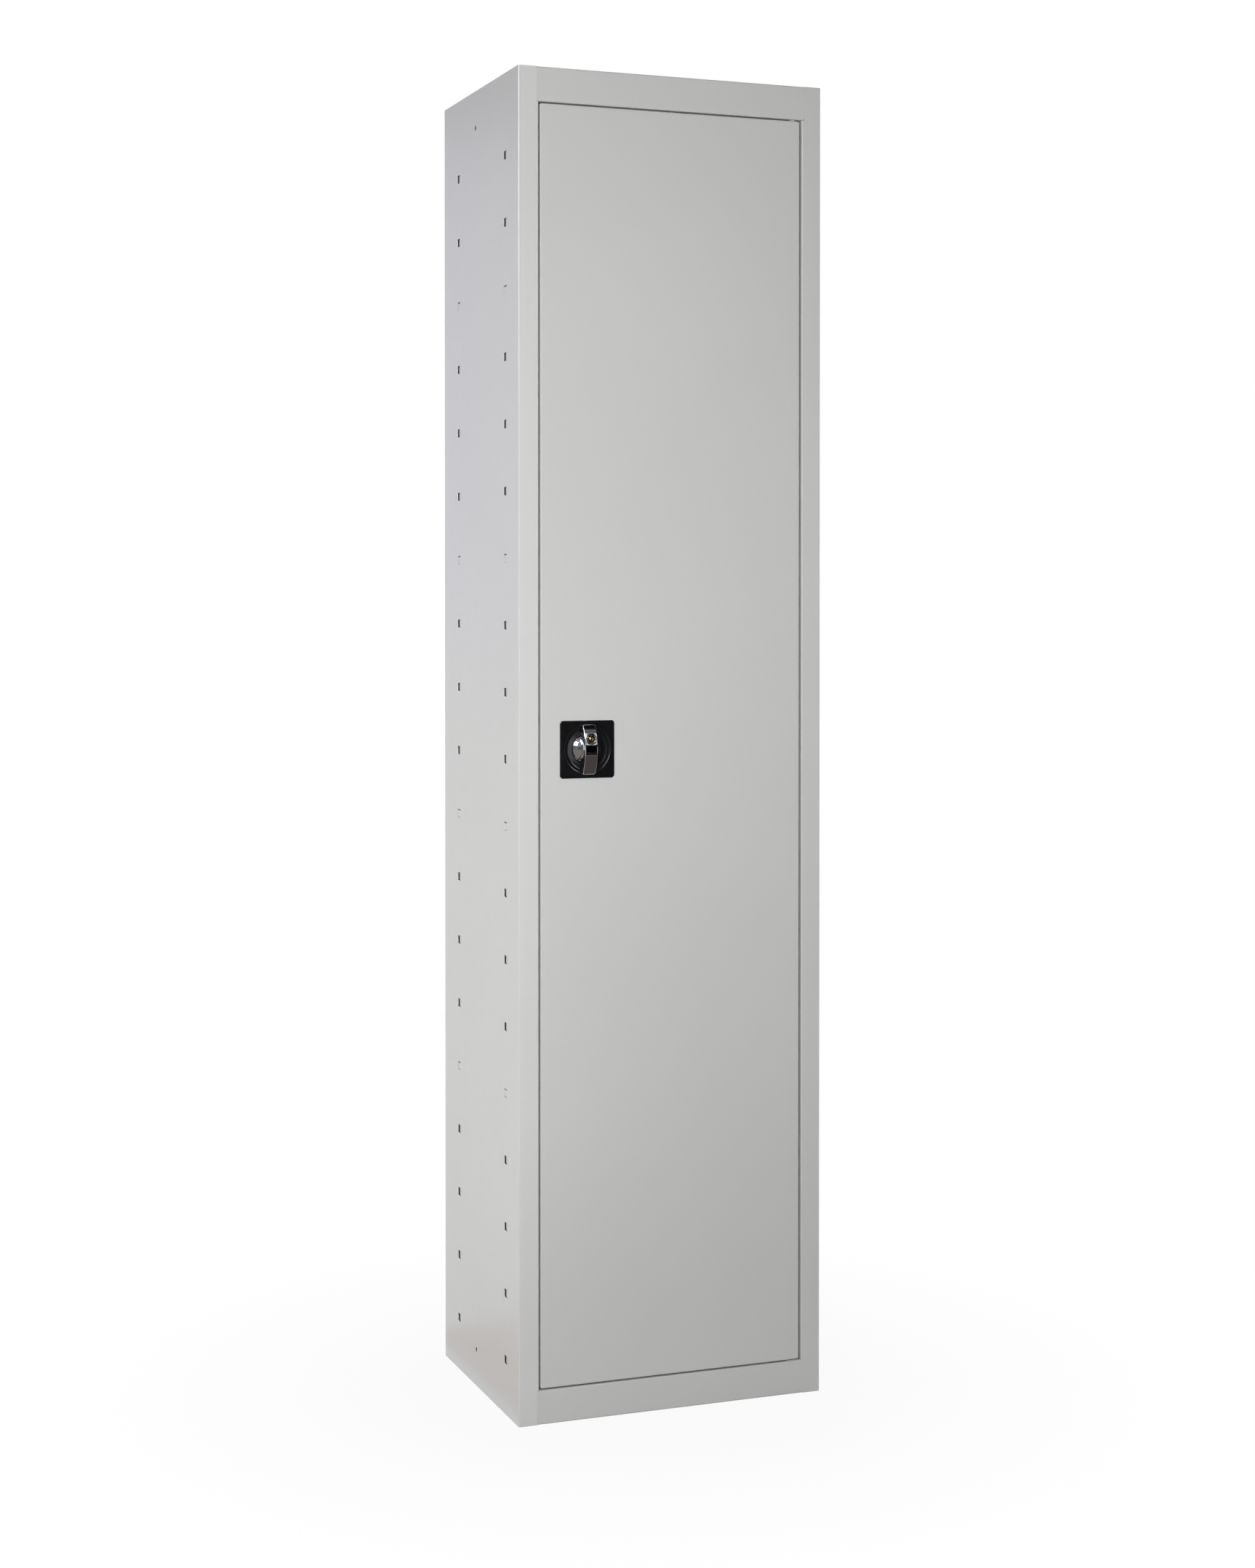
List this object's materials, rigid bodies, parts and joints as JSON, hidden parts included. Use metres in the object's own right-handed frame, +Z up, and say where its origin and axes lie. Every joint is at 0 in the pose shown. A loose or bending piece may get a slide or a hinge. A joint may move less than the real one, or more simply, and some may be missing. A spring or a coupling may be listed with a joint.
{
  "type": "locker cabinet",
  "caption": "Tall narrow folded-steel locker cabinet with a pivot-hung door, a turning key-lock grip that throws a latch and rods, and shelves hung in side slots.",
  "frame": {"origin": "on the floor, at the middle of the carcass", "axes": "+Z up, the door faces -Y, +X to the right for someone who faces the door"},
  "size_m": [0.45, 0.369, 1.85],
  "materials": {
    "powder_coat": "satin light grey powder coat",
    "clip_paint": "light grey paint",
    "zinc_plate": "bright zinc plating",
    "rod_steel": "drawn steel, zinc plated",
    "white_nylon": "moulded nylon",
    "black_lock": "satin black moulding",
    "chrome": "polished chrome plating",
    "brass": "turned brass, worn"
  },
  "bodies": {
    "carcass": {"left_side_panel": "powder_coat", "right_side_panel": "powder_coat", "back_panel": "powder_coat", "top_panel": "powder_coat", "bottom_panel": "powder_coat", "upper_pivot": "zinc_plate", "lower_pivot": "zinc_plate", "shelf_1": "powder_coat", "shelf_2": "powder_coat", "shelf_3": "powder_coat", "shelf_4": "powder_coat", "shelf_clips_1": "clip_paint", "shelf_clips_2": "clip_paint", "shelf_clips_3": "clip_paint", "shelf_clips_4": "clip_paint"},
    "door": {"door_pan": "powder_coat", "door_stiffener": "powder_coat", "upper_bush": "white_nylon", "lower_bush": "white_nylon", "lock_plate": "black_lock", "lock_clamp": "zinc_plate", "lock_screws": "zinc_plate", "upper_rod_guide": "white_nylon", "lower_rod_guide": "white_nylon", "guide_rivets": "zinc_plate"},
    "handle": {"turning_grip": "chrome", "key_cylinder": "chrome", "spindle": "zinc_plate", "retaining_washer": "zinc_plate", "latch_tongue": "zinc_plate", "drive_cam": "zinc_plate", "end_nut": "zinc_plate"},
    "key": {"key_plug": "brass"},
    "upper_bolt": {"upper_rod": "rod_steel"},
    "lower_bolt": {"lower_rod": "rod_steel"}
  },
  "joints": [
    {"name": "door_swing", "type": "hinge", "parent": "carcass", "child": "door", "pos_m": [0.1843, -0.1665, 0.9248], "axis": [0, 0, 1], "range_deg": [0, 105]},
    {"name": "handle_turn", "type": "hinge", "parent": "door", "child": "handle", "pos_m": [-0.1265, -0.175, 0.9215], "axis": [0, 1, 0], "range_deg": [0, 90]},
    {"name": "key_turn", "type": "hinge", "parent": "handle", "child": "key", "pos_m": [-0.1265, -0.175, 0.9368], "axis": [0, 1, 0], "range_deg": [0, 90]},
    {"name": "upper_bolt_slide", "type": "slide", "parent": "door", "child": "upper_bolt", "axis": [0, 0, 1], "range_m": [0, 0.017]},
    {"name": "lower_bolt_slide", "type": "slide", "parent": "door", "child": "lower_bolt", "axis": [0, 0, -1], "range_m": [0, 0.017]}
  ],
  "couplings": [
    {"joint": "upper_bolt_slide", "follows": "handle_turn", "m_per_rad": 0.010804},
    {"joint": "lower_bolt_slide", "follows": "handle_turn", "m_per_rad": 0.010804}
  ]
}
